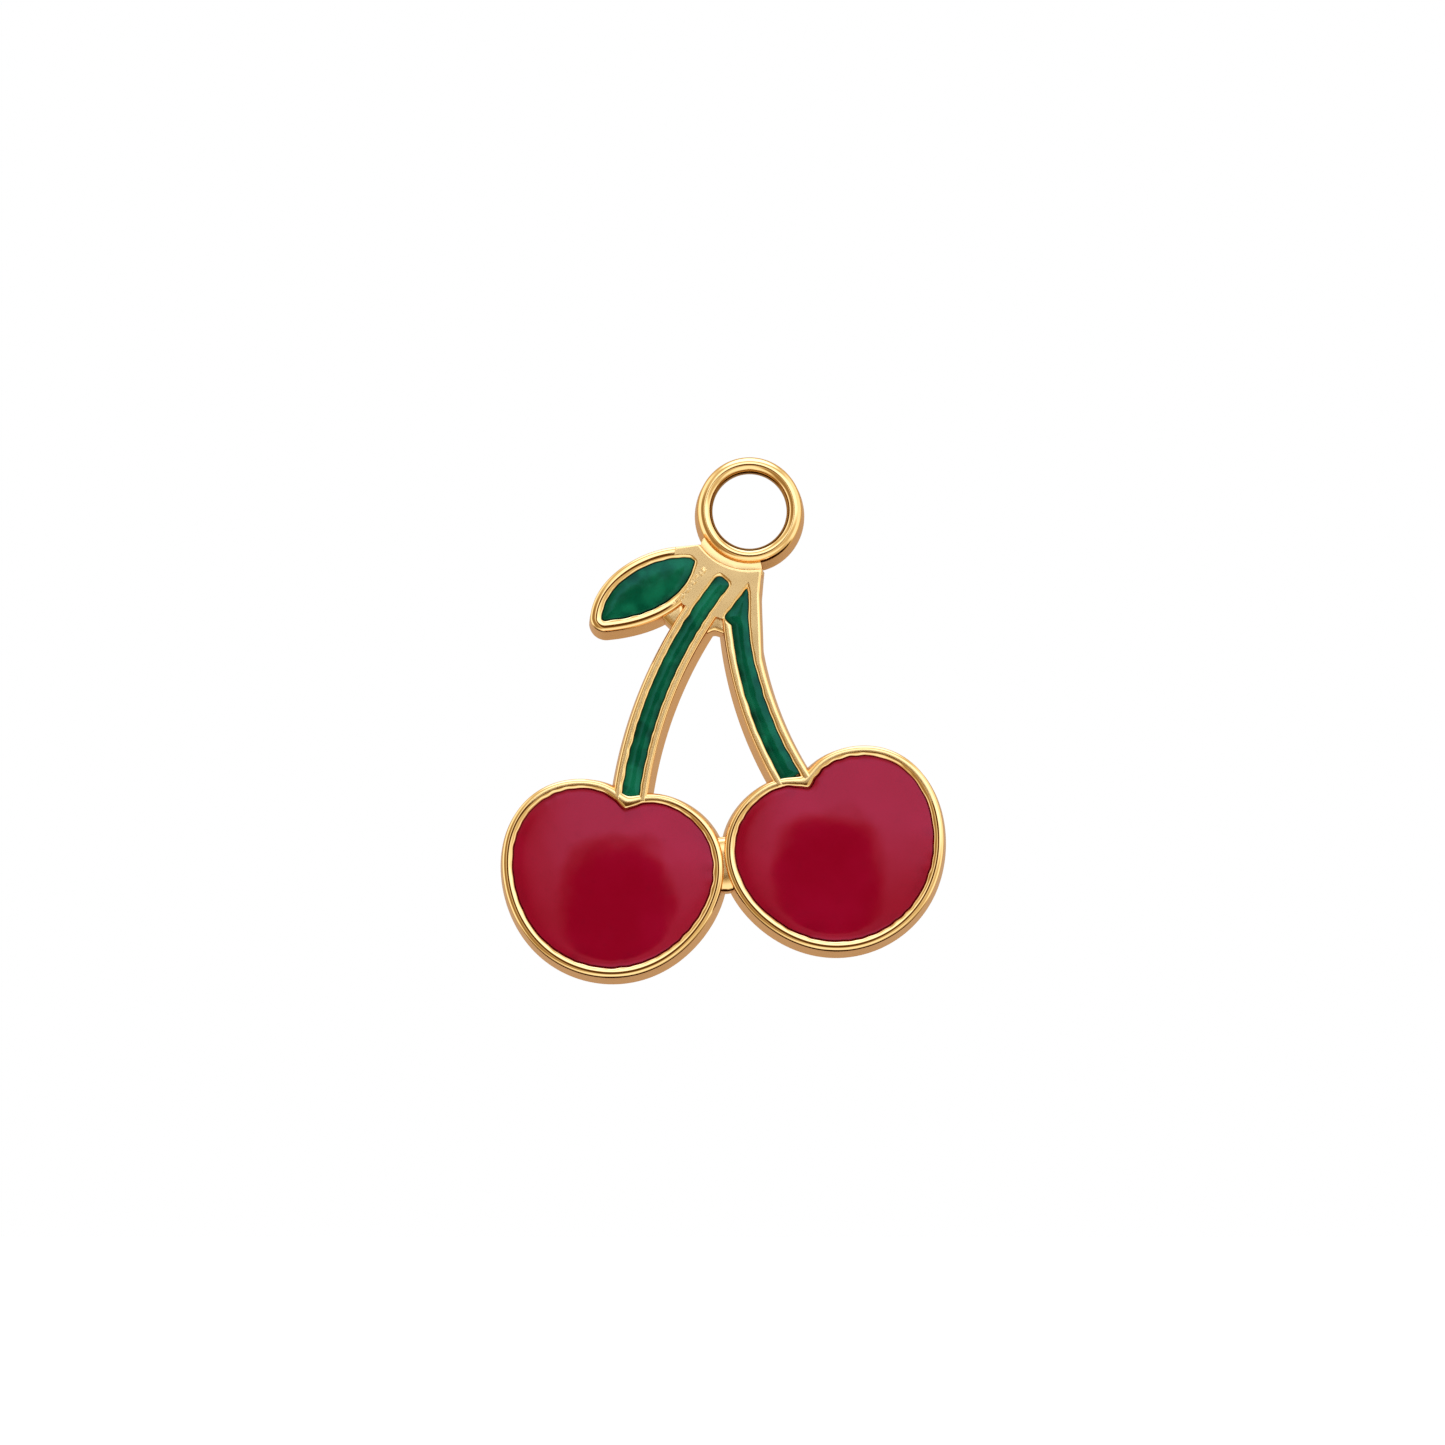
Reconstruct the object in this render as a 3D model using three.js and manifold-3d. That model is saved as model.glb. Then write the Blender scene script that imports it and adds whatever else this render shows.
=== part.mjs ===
// Enamelled cherry charm: two cherries on stalks with a leaf, cast in one piece with
// round-edged rims, five cells filled with coloured enamel, and a round hanging eye.
//
// Millimetres. +Z is up as the charm hangs, -Y is the enamelled front, +Y the flat back.
// The origin is the centre of the eye, half way through the casting.
import * as THREE from 'three';
import { mergeVertices } from 'three/addons/utils/BufferGeometryUtils.js';
import Module from 'manifold-3d';

const wasm = await Module();
wasm.setup();

// ---------------------------------------------------------------- driving dimensions

const BODY_THICKNESS = 2.2; // flat back to the top of the rims
const EDGE_ROUND_DEPTH = 0.36; // rounding of the rims, measured from front to back
const EDGE_ROUND_RUN = 0.22; // the same rounding, measured across the rim
const CELL_DEPTH = 0.5; // rim top to the floor of an enamel cell
const ENAMEL_GAP = 0.03; // clearance between an enamel and the cell round and under it
const ENAMEL_BELOW_RIM = 0.12; // rim top down to the edge of an enamel

const EYE_HOLE_RADIUS = 1.72;
const EYE_RING_WIDTH = 0.81;
const EYE_BELOW_RIM = 0.1; // rim top down to the crest of the ring

const NECK_GROOVE = 0.1; // between the ring and the head plate, at the back
const NECK_BELOW_RIM = 0.65; // rim top down to the floor of the groove
const NECK_ANGLES = [216, 285]; // the head plate's top edge round the eye, degrees
const NECK_FLOOR_ANGLES = [219, 280]; // the groove's floor

// One cherry outline serves both fruits. In polar form, with the angle taken from the
// stalk dimple: a circle, three cosine waves that flatten it, and the dimple's notch.
const CHERRY_RADIUS = 4.273;
const CHERRY_WAVES = [[2, 0.296], [3, 0.209], [4, 0.06]]; // [waves round, height]
const DIMPLE_DEPTH = 0.667;
const DIMPLE_HALF_WIDTH = 0.219; // radians
const DIMPLE_SHARPNESS = 1.68;
const DIMPLE_FADE = 0.45; // how fast the dimple fills in as the outline grows
const CHERRY_RIM = 0.68;
const FOOT_LEDGE = 0.14; // rim left between a stalk's cell and the cherry's outline
const CHERRY_DOME = 0.36; // rise of the enamel's middle above its edge
const DOME_MARGIN = 0.48; // how far past CHERRY_RADIUS the dome comes level with its edge

// The left cherry is placed from the eye; the right one touches it in a given direction.
const LEFT_CHERRY_PLACE = { x: -6.32, z: -16.75 };
const LEFT_CHERRY_TURN = 77.8; // where the dimple faces, degrees from +X
const RIGHT_CHERRY_TURN = 115.5;
const CHERRY_TOUCH_ANGLE = 6.7; // from the left cherry's centre to the right one's
const CHERRY_TOUCH_OVERLAP = 0.28; // how far the two castings run into each other
const BRIDGE_HALF_HEIGHT = 1.22; // the web where the cherries touch
const BRIDGE_HALF_WIDTH = 0.5;
const BRIDGE_BELOW_RIM = 0.9;

// A stalk is a band along an arc of a circle from its head to its cherry's rim, which it
// meets footTurn degrees round from the dimple. cellFrom is where its cell starts, along
// the arc; halves are the cell's half widths at the head and the foot.
const STALK_RIM = 0.58;
const STALK_SINK = 0.5; // the band runs on under the cherry's rim
const LEFT_STALK = { head: [-1.14, -3.17], radius: 20.05, footTurn: -1.5, cellFrom: 0, halves: [0.35, 0.39] };
const RIGHT_STALK = { head: [-0.52, -4.49], radius: 17.07, footTurn: 7.6, cellFrom: 0.75, halves: [0.36, 0.42] };
const STALK_END_ROUND = 0.2; // corners of the left stalk's cell at the head

// The leaf's cell is two curves from tip to tip: [end, control, control, end].
const LEAF_UPPER = [[-6.74, -5.0], [-6.66, -3.3], [-4.35, -2.06], [-2.84, -2.2]];
const LEAF_LOWER = [[-2.66, -2.34], [-2.97, -4.28], [-5.04, -4.94], [-6.64, -5.07]];
const LEAF_RIM = 0.74;

// The head plate joins leaf, stalks and eye.
const HEAD_RIGHT_EDGE = [[0.58, -3.6], [0.54, -4.7], [0.5, -5.2]];
const HEAD_LEFT_EDGE = [[-0.6, -5.2], [-2.6, -4.4], [-3.5, -2.2], [-3.1, -1.5]];
// The right stalk's cell starts as a wedge whose long side follows the left stalk's rim:
// where that side starts and ends along the left stalk, and its clearance to the rim.
const WEDGE = { from: -0.32, to: 1.46, clear: 0.13 };
// The low web in the crotch of the stalks.
const CROTCH_WEB = [[-0.9, -4.4], [-2.4, -5.0], [-2.2, -5.78], [-1.2, -5.78]];
const CROTCH_BELOW_RIM = 0.75;

const CURVE_STEPS = { cherry: 96, stalk: 16, leaf: 14, ring: 72, ringFront: 8, cap: 8, dome: 7 };
const EDGE_STEPS = 3;
const BACK = BODY_THICKNESS / 2;
const FRONT = -BACK;

// ---------------------------------------------------------------- finishes

const finish = (color, metalness, roughness) => new THREE.MeshStandardMaterial({ color, metalness, roughness });
const GOLD = finish(0xdcb06a, 1, 0.22);
const RED_ENAMEL = finish(0xa3122f, 0, 0.12);
const GREEN_ENAMEL = finish(0x14603c, 0, 0.15);

// ---------------------------------------------------------------- solids

// A closed three.js geometry as a manifold solid: shared corners merged first.
function solidOf(geometry) {
  geometry.deleteAttribute('normal');
  geometry.deleteAttribute('uv');
  const merged = mergeVertices(geometry, 1e-5);
  return new wasm.Manifold(new wasm.Mesh({
    numProp: 3,
    vertProperties: new Float32Array(merged.attributes.position.array),
    triVerts: new Uint32Array(merged.index.array),
  }));
}

function meshOf(solid, name, material) {
  const { vertProperties, triVerts } = solid.getMesh();
  const geometry = new THREE.BufferGeometry();
  geometry.setAttribute('position', new THREE.BufferAttribute(new Float32Array(vertProperties), 3));
  geometry.setIndex(new THREE.BufferAttribute(new Uint32Array(triVerts), 1));
  const mesh = new THREE.Mesh(geometry, material);
  mesh.name = name;
  return mesh;
}

const joined = (solids) => solids.reduce((whole, next) => whole.add(next));

// An outline drawn in X and Z, pulled from y = back to y = front.
function prism(points, back, front) {
  const shape = new THREE.Shape(points.map(([x, z]) => new THREE.Vector2(x, z)));
  const geometry = new THREE.ExtrudeGeometry(shape, { depth: back - front, bevelEnabled: false });
  geometry.rotateX(Math.PI / 2);
  geometry.translate(0, back, 0);
  return solidOf(geometry);
}

// The same with its front edge rounded over. The bevel is made at both ends and the
// back one, which lies behind the casting's flat back, is cut away.
function roundedPlate(points, front) {
  const shape = new THREE.Shape(points.map(([x, z]) => new THREE.Vector2(x, z)));
  const geometry = new THREE.ExtrudeGeometry(shape, {
    depth: BACK - front,
    bevelThickness: EDGE_ROUND_DEPTH,
    bevelSize: EDGE_ROUND_RUN,
    bevelOffset: -EDGE_ROUND_RUN,
    bevelSegments: EDGE_STEPS,
  });
  geometry.rotateX(Math.PI / 2);
  geometry.translate(0, BACK + EDGE_ROUND_DEPTH, 0);
  const behind = new THREE.BoxGeometry(100, BODY_THICKNESS, 100);
  behind.translate(0, BACK + BODY_THICKNESS / 2, 0);
  return solidOf(geometry).subtract(solidOf(behind));
}

// ---------------------------------------------------------------- outlines

const radians = THREE.MathUtils.degToRad;

// A cherry's radius at an angle from its dimple, for an outline grown out from the cell.
function cherryRadius(angle, grow) {
  const dimple = Math.exp(-((Math.abs(angle) / DIMPLE_HALF_WIDTH) ** DIMPLE_SHARPNESS));
  const waves = CHERRY_WAVES.reduce((sum, [count, height]) => sum + height * Math.cos(count * angle), 0);
  return CHERRY_RADIUS + grow - waves - (DIMPLE_DEPTH - DIMPLE_FADE * grow) * dimple;
}

function cherryOutline(cherry, grow) {
  return Array.from({ length: CURVE_STEPS.cherry }, (_, i) => {
    const t = i / CURVE_STEPS.cherry;
    const angle = 2 * Math.PI * (t < 0.5 ? t : t - 1);
    const direction = angle + radians(cherry.turn);
    const radius = cherryRadius(angle, grow);
    return [cherry.x + radius * Math.cos(direction), cherry.z + radius * Math.sin(direction)];
  });
}

// The right cherry's place: far enough from the left one, in the touch direction, that
// the two outlines run into each other by the overlap.
function rightCherryPlace() {
  const reach = (towards, turn) => {
    const angle = THREE.MathUtils.euclideanModulo(radians(towards - turn) + Math.PI, 2 * Math.PI) - Math.PI;
    return cherryRadius(angle, CHERRY_RIM);
  };
  const distance = reach(CHERRY_TOUCH_ANGLE, LEFT_CHERRY_TURN)
    + reach(CHERRY_TOUCH_ANGLE + 180, RIGHT_CHERRY_TURN) - CHERRY_TOUCH_OVERLAP;
  return {
    x: LEFT_CHERRY_PLACE.x + distance * Math.cos(radians(CHERRY_TOUCH_ANGLE)),
    z: LEFT_CHERRY_PLACE.z + distance * Math.sin(radians(CHERRY_TOUCH_ANGLE)),
  };
}

// The middle line of a stalk: the arc of the given radius from its head to the foot on
// its cherry's rim, bulging to the left.
function stalkArc(stalk, cherry) {
  const footAngle = radians(stalk.footTurn);
  const reach = cherryRadius(footAngle, CHERRY_RIM - FOOT_LEDGE);
  const direction = footAngle + radians(cherry.turn);
  const head = new THREE.Vector2(...stalk.head);
  const foot = new THREE.Vector2(cherry.x + reach * Math.cos(direction), cherry.z + reach * Math.sin(direction));
  const chord = foot.clone().sub(head);
  const height = Math.sqrt(stalk.radius ** 2 - chord.lengthSq() / 4);
  const across = new THREE.Vector2(-chord.y, chord.x).normalize().multiplyScalar(height);
  const centre = head.clone().add(foot).multiplyScalar(0.5).add(across);
  const start = head.sub(centre).angle();
  const sweep = 2 * Math.asin(chord.length() / 2 / stalk.radius);
  return { ...stalk, centre, start, length: sweep * stalk.radius };
}

// A point of a stalk: so far along its arc from the head, and so far off the middle line
// to the side away from the arc's centre.
function stalkPoint(arc, along, out) {
  const angle = arc.start + along / arc.radius;
  const radius = arc.radius + out;
  return [arc.centre.x + radius * Math.cos(angle), arc.centre.y + radius * Math.sin(angle)];
}

// One edge of a stalk, grown outwards, from one distance along the arc to another.
function stalkEdge(arc, edge, grow, from, to) {
  return Array.from({ length: CURVE_STEPS.stalk + 1 }, (_, i) => {
    const along = THREE.MathUtils.lerp(from, to, i / CURVE_STEPS.stalk);
    const half = THREE.MathUtils.lerp(...arc.halves, along / arc.length) + grow;
    return stalkPoint(arc, along, edge * half);
  });
}

function bandOutline(arc, grow) {
  const end = arc.length + STALK_SINK;
  return [...stalkEdge(arc, -1, grow, 0, end), ...stalkEdge(arc, 1, grow, 0, end).reverse()];
}

// The left stalk's cell: a band whose head end has its corners cut round.
function leftCellOutline(grow) {
  const arc = STALKS.left;
  const end = arc.length + STALK_SINK;
  const corner = arc.halves[0] + grow - STALK_END_ROUND;
  const cap = [stalkPoint(arc, arc.cellFrom - grow, corner), stalkPoint(arc, arc.cellFrom - grow, -corner)];
  const from = arc.cellFrom + STALK_END_ROUND;
  return [...cap, ...stalkEdge(arc, -1, grow, from, end), ...stalkEdge(arc, 1, grow, from, end).reverse()];
}

// The right stalk's cell: a wedge along the left stalk's rim, then a band.
function rightCellOutline(grow) {
  const arc = STALKS.right;
  const beside = -(STALKS.left.halves[0] + STALK_RIM + WEDGE.clear - grow);
  const wedge = [
    stalkPoint(STALKS.left, WEDGE.from - 3 * grow, beside),
    stalkPoint(STALKS.left, WEDGE.to + grow, beside),
  ];
  const end = arc.length + STALK_SINK;
  return [
    ...stalkEdge(arc, -1, grow, arc.cellFrom, end).reverse(),
    ...wedge,
    ...stalkEdge(arc, 1, grow, arc.cellFrom, end),
  ];
}

// The leaf grown outwards or inwards: each curve moves along its own normal, and where
// it grows, a turn of the normal round each tip joins them.
function leafOutline(grow) {
  const corners = [LEAF_UPPER, LEAF_LOWER].map((curve) => new THREE.CubicBezierCurve(
    ...curve.map(([x, z]) => new THREE.Vector2(x, z))));
  const along = corners.map((curve) => Array.from({ length: CURVE_STEPS.leaf + 1 }, (_, i) => {
    const t = i / CURVE_STEPS.leaf;
    const tangent = curve.getTangent(t);
    return { at: curve.getPoint(t), heading: Math.atan2(tangent.x, -tangent.y) };
  }));
  const points = [];
  along.forEach((side, index) => {
    side.forEach(({ at, heading }) => points.push([at.x + grow * Math.cos(heading), at.y + grow * Math.sin(heading)]));
    const last = side.at(-1);
    const next = along[1 - index][0];
    let turn = next.heading - last.heading;
    while (turn > 0) turn -= 2 * Math.PI;
    for (let i = 1; i < CURVE_STEPS.cap && grow > 0; i += 1) {
      const t = i / CURVE_STEPS.cap;
      const heading = last.heading + t * turn;
      const at = last.at.clone().lerp(next.at, t);
      points.push([at.x + grow * Math.cos(heading), at.y + grow * Math.sin(heading)]);
    }
  });
  return points;
}

function arcPoints(radius, [from, to], count) {
  return Array.from({ length: count + 1 }, (_, i) => {
    const angle = radians(THREE.MathUtils.lerp(from, to, i / count));
    return [radius * Math.cos(angle), radius * Math.sin(angle)];
  });
}

// ---------------------------------------------------------------- places

const LEFT_CHERRY = { ...LEFT_CHERRY_PLACE, turn: LEFT_CHERRY_TURN };
const RIGHT_CHERRY = { ...rightCherryPlace(), turn: RIGHT_CHERRY_TURN };
const STALKS = { left: stalkArc(LEFT_STALK, LEFT_CHERRY), right: stalkArc(RIGHT_STALK, RIGHT_CHERRY) };
const NECK_RADIUS = EYE_HOLE_RADIUS + EYE_RING_WIDTH + NECK_GROOVE;

// ---------------------------------------------------------------- the casting

// A straight-sided hole with a half-round front, turned about the Y axis.
function eyeRing() {
  const crest = FRONT + EYE_BELOW_RIM;
  const half = EYE_RING_WIDTH / 2;
  const middle = EYE_HOLE_RADIUS + half;
  const profile = [new THREE.Vector2(EYE_HOLE_RADIUS, BACK)];
  for (let i = 0; i <= CURVE_STEPS.ringFront; i += 1) {
    const angle = Math.PI * (1 - i / CURVE_STEPS.ringFront);
    profile.push(new THREE.Vector2(middle + half * Math.cos(angle), crest + half - half * Math.sin(angle)));
  }
  profile.push(new THREE.Vector2(EYE_HOLE_RADIUS + EYE_RING_WIDTH, BACK), profile[0].clone());
  return solidOf(new THREE.LatheGeometry(profile, CURVE_STEPS.ring));
}

function headPlate() {
  const edge = arcPoints(NECK_RADIUS, NECK_ANGLES, CURVE_STEPS.cap);
  return roundedPlate([...HEAD_LEFT_EDGE, ...edge, ...HEAD_RIGHT_EDGE], FRONT);
}

// The groove's floor between the ring and the head plate.
function neckWeb() {
  const inner = arcPoints(EYE_HOLE_RADIUS + EYE_RING_WIDTH / 2, NECK_FLOOR_ANGLES, CURVE_STEPS.cap);
  const outer = arcPoints(NECK_RADIUS + 2 * EDGE_ROUND_RUN, NECK_FLOOR_ANGLES, CURVE_STEPS.cap);
  return prism([...outer, ...inner.reverse()], BACK, FRONT + NECK_BELOW_RIM);
}

// The web that joins the cherries stands across the line between their centres.
function cherryBridge() {
  const x = (LEFT_CHERRY.x + RIGHT_CHERRY.x) / 2;
  const z = (LEFT_CHERRY.z + RIGHT_CHERRY.z) / 2;
  const lean = Math.atan2(RIGHT_CHERRY.z - LEFT_CHERRY.z, RIGHT_CHERRY.x - LEFT_CHERRY.x);
  const corner = (across, up) => [
    x + across * Math.cos(lean) - up * Math.sin(lean),
    z + across * Math.sin(lean) + up * Math.cos(lean),
  ];
  const [w, h] = [BRIDGE_HALF_WIDTH, BRIDGE_HALF_HEIGHT];
  return prism([corner(-w, -h), corner(w, -h), corner(w, h), corner(-w, h)], BACK, FRONT + BRIDGE_BELOW_RIM);
}

// ---------------------------------------------------------------- cells and enamels

// What fills a cell, or cuts it: grow is 0 for the cell and minus the clearance for the
// enamel; floor and top are its ends in Y. Stalks stop short of the cherries' rims.
function fill(name, grow, floor, top) {
  const stop = (cherry) => prism(cherryOutline(cherry, CHERRY_RIM - FOOT_LEDGE - grow), BACK, 2 * FRONT);
  switch (name) {
    case 'leaf': return prism(leafOutline(grow), floor, top);
    case 'left_stalk': return prism(leftCellOutline(grow), floor, top).subtract(stop(LEFT_CHERRY));
    case 'right_stalk': return prism(rightCellOutline(grow), floor, top).subtract(stop(RIGHT_CHERRY));
    case 'left_cherry': return prism(cherryOutline(LEFT_CHERRY, grow), floor, top);
    default: return prism(cherryOutline(RIGHT_CHERRY, grow), floor, top);
  }
}

const FILLS = {
  leaf: { material: GREEN_ENAMEL },
  left_stalk: { material: GREEN_ENAMEL },
  right_stalk: { material: GREEN_ENAMEL },
  left_cherry: { material: RED_ENAMEL, domeOn: LEFT_CHERRY },
  right_cherry: { material: RED_ENAMEL, domeOn: RIGHT_CHERRY },
};

// A shallow lens about the Y axis through a cherry's centre, from its rounded front
// back to the enamel's floor.
function domeLens(cherry, floor) {
  const edge = FRONT + ENAMEL_BELOW_RIM;
  const level = CHERRY_RADIUS + DOME_MARGIN;
  const sphere = (level ** 2 + CHERRY_DOME ** 2) / (2 * CHERRY_DOME);
  const centre = edge - CHERRY_DOME + sphere;
  const reach = level * 1.2;
  const profile = [];
  for (let i = 0; i <= CURVE_STEPS.dome; i += 1) {
    const r = reach * (i / CURVE_STEPS.dome);
    profile.push(new THREE.Vector2(r, centre - Math.sqrt(sphere ** 2 - r ** 2)));
  }
  profile.push(new THREE.Vector2(reach, floor + 1), new THREE.Vector2(0, floor + 1));
  const geometry = new THREE.LatheGeometry(profile, CURVE_STEPS.cherry / 2);
  geometry.translate(cherry.x, 0, cherry.z);
  return solidOf(geometry);
}

function enamel(name) {
  const floor = FRONT + CELL_DEPTH - ENAMEL_GAP;
  const { domeOn } = FILLS[name];
  if (domeOn) {
    return fill(name, -ENAMEL_GAP, floor, FRONT + ENAMEL_BELOW_RIM - CHERRY_DOME).intersect(domeLens(domeOn, floor));
  }
  return fill(name, -ENAMEL_GAP, floor, FRONT + ENAMEL_BELOW_RIM);
}

function casting() {
  const body = joined([
    eyeRing(),
    neckWeb(),
    headPlate(),
    roundedPlate(leafOutline(LEAF_RIM), FRONT),
    roundedPlate(bandOutline(STALKS.left, STALK_RIM), FRONT),
    roundedPlate(bandOutline(STALKS.right, STALK_RIM), FRONT),
    prism(CROTCH_WEB, BACK, FRONT + CROTCH_BELOW_RIM),
    roundedPlate(cherryOutline(LEFT_CHERRY, CHERRY_RIM), FRONT),
    roundedPlate(cherryOutline(RIGHT_CHERRY, CHERRY_RIM), FRONT),
    cherryBridge(),
  ]);
  const cells = Object.keys(FILLS).map((name) => fill(name, 0, FRONT + CELL_DEPTH, 2 * FRONT));
  return body.subtract(joined(cells));
}

const charm = new THREE.Group();
charm.add(meshOf(casting(), 'cast_frame', GOLD));
for (const [name, { material }] of Object.entries(FILLS)) {
  charm.add(meshOf(enamel(name), `${name}_enamel`, material));
}

export default charm;
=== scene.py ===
"""Enamelled cherry charm: a gold-plated casting with five cells of red and green enamel.

Shapes are worked out in millimetres, with +Z up as the charm hangs, -Y the enamelled front
and +Y the flat back, and go into their meshes in metres. The origin is the eye's centre.
"""

import sys
import logging
import math
from collections.abc import Callable
from dataclasses import dataclass
from enum import Enum

import bpy
import numpy as np
from mathutils import Matrix


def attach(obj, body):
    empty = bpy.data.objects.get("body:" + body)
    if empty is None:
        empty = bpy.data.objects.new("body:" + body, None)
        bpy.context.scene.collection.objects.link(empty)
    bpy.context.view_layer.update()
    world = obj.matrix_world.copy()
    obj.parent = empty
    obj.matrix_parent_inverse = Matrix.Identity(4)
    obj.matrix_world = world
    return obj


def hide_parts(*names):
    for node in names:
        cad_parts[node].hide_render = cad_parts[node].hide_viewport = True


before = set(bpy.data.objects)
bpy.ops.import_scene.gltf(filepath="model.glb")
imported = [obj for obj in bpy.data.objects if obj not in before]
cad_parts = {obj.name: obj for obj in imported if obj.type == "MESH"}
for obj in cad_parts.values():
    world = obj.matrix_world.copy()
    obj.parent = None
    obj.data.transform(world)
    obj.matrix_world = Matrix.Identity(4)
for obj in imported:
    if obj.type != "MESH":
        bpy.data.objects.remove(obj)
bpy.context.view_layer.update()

LOG = logging.getLogger("charm")
MM = 0.001
BACK = 1.1  # depth of the flat back
FRONT = -1.1  # depth of the crests round the cherries and the leaf
LAND = FRONT - 0.003  # the flat tops of the stalk rims and the head plate
WEB = FRONT + 0.26  # the tops of the low webs
CELL_FLOOR = FRONT + 0.5
GLAZE_EDGE = FRONT + 0.12  # where an enamel meets the wall of its cell
ABOVE = FRONT - 0.4  # how far a cutter stands clear of the front
EASE = 0.05  # the small bevel round the back
OVERLAP = 0.02  # how far a solid runs into its neighbour
FROM_WALL = "from_wall"  # each enamel corner's distance from its wall, in millimetres

Array = np.ndarray
Outline = Callable[[float], Array]  # an outline that depends on its growth
Piece = bpy.types.Object
Socket = bpy.types.NodeSocket
Value = Socket | float | tuple  # what a node's input can be given


# ---- curves in the plane


def even(line: Array, count: int) -> Array:
    """An open line resampled at equal steps."""
    run = np.concatenate([[0.0], np.cumsum(np.linalg.norm(np.diff(line, axis=0), axis=1))])
    at = np.linspace(0.0, run[-1], count)
    return np.column_stack([np.interp(at, run, line[:, 0]), np.interp(at, run, line[:, 1])])


def rays(angle: Array) -> Array:
    """Unit vectors at angles in radians from +X."""
    return np.column_stack([np.cos(angle), np.sin(angle)])


def placed(points: Array, depth: Value) -> Array:
    """Corners in space: points x and z of the plane, put at their depths."""
    return np.column_stack([points[:, 0], np.broadcast_to(depth, len(points)), points[:, 1]])


def resampled(outline: Array, count: int) -> Array:
    """So many points at equal steps along a closed outline, given by its corners."""
    return even(np.vstack([outline, outline[:1]]), count + 1)[:-1]


def softened(outline: Array, sigma: float) -> Array:
    """Rounds an evenly spaced closed outline by a running bell-shaped average.

    The outline is taken as a wave x + iz round its length, and each of its harmonics k is
    multiplied by exp(-(2 pi k sigma / length)^2 / 2).

    Args:
        outline: (n, 2) evenly spaced points.
        sigma: the bell's width along the outline, in millimetres.

    Returns:
        (n, 2) points of the rounded outline.
    """
    wave = outline[:, 0] + 1j * outline[:, 1]
    length = np.abs(np.roll(wave, -1) - wave).sum()
    turns = np.fft.fftfreq(len(wave), 1.0 / len(wave))
    damped = np.fft.fft(wave) * np.exp(-0.5 * (2.0 * np.pi * turns * sigma / length) ** 2)
    smooth = np.fft.ifft(damped)
    return np.column_stack([smooth.real, smooth.imag])


def rounded(outline: Array, sigma: float, count: int = 420) -> Array:
    """Spreads points evenly along a closed outline and rounds its corners."""
    return softened(resampled(outline, count), sigma)


def bezier(corners: tuple, count: int) -> tuple[Array, Array]:
    """Points and unit tangents of a cubic Bezier curve.

    Args:
        corners: its four control points.
        count: how many points, both ends included.

    Returns:
        (count, 2) points, and (count, 2) unit tangents.
    """
    a, b, c, d = (np.array(p, float) for p in corners)
    t = np.linspace(0.0, 1.0, count)[:, None]
    point = (1 - t) ** 3 * a + 3 * (1 - t) ** 2 * t * b + 3 * (1 - t) * t**2 * c + t**3 * d
    slope = 3 * (1 - t) ** 2 * (b - a) + 6 * (1 - t) * t * (c - b) + 3 * t**2 * (d - c)
    return point, slope / np.linalg.norm(slope, axis=1, keepdims=True)


def distance_to(points: Array, outline: Array) -> Array:
    """Distance of each point to a closed outline: the least over all its segments.

    Args:
        points: (n, 2) points.
        outline: (m, 2) corners of the closed outline.

    Returns:
        (n,) distances.
    """
    start = outline[None, :, :]
    along = (np.roll(outline, -1, axis=0) - outline)[None, :, :]
    gap = points[:, None, :] - start
    share = np.clip((gap * along).sum(2) / np.maximum((along**2).sum(2), 1e-12), 0.0, 1.0)
    return np.linalg.norm(gap - share[:, :, None] * along, axis=2).min(1)


def ripple(points: Array, wavelength: float, seed: int) -> Array:
    """A smooth uneven field from -1 to 1: six sine waves in seeded directions, averaged.

    Args:
        points: (n, 2) or (n, 3) places in millimetres.
        wavelength: the length of a typical wave.
        seed: which of the possible fields.

    Returns:
        (n,) values of the field.
    """
    waves, longest, shortest = 6, 0.7, 1.5  # how many, and the range of their wave numbers
    draw = np.random.default_rng(seed)
    pull = draw.normal(0.0, 1.0, (waves, points.shape[1]))
    length = np.linalg.norm(pull, axis=1, keepdims=True)
    pull *= 2.0 * np.pi / wavelength * draw.uniform(longest, shortest, (waves, 1)) / length
    return np.sin(points @ pull.T + draw.uniform(0.0, 2.0 * np.pi, waves)).mean(1)


def uneven(points: Array) -> Array:
    """Moves points a little by a smooth seeded field, as a hand-finished cell edge wanders."""
    amount, wavelength, seeds = 0.028, 0.7, (71, 72)
    drift = [ripple(points, wavelength, seed) for seed in seeds]
    return points + amount * np.column_stack(drift)


# ---- meshes


@dataclass
class Surface:
    """A closed mesh in millimetres: its corners, and its faces as index rows or lists."""

    corners: Array
    faces: list

    def piece(self, name: str) -> Piece:
        """Puts the surface into an object of that name, in metres, at the origin."""
        mesh = bpy.data.meshes.new(name)
        mesh.from_pydata((self.corners * MM).tolist(), [], self.faces)
        mesh.validate()
        thing = bpy.data.objects.new(name, mesh)
        bpy.context.scene.collection.objects.link(thing)
        return thing


def grid_faces(rows: int, columns: int, wrap_rows: bool, wrap_columns: bool) -> Array:
    """Four-sided faces of a grid of corners numbered row by row.

    Args:
        rows: number of rows.
        columns: number of corners in a row.
        wrap_rows: whether the last row joins the first.
        wrap_columns: whether each row closes on itself.

    Returns:
        (faces, 4) corner numbers.
    """
    row = np.arange(rows if wrap_rows else rows - 1)[:, None]
    column = np.arange(columns if wrap_columns else columns - 1)[None, :]
    next_row, next_column = (row + 1) % rows, (column + 1) % columns
    quads = [row * columns + column, row * columns + next_column,
             next_row * columns + next_column, next_row * columns + column]
    return np.stack(np.broadcast_arrays(*quads), axis=-1).reshape(-1, 4)


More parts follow.
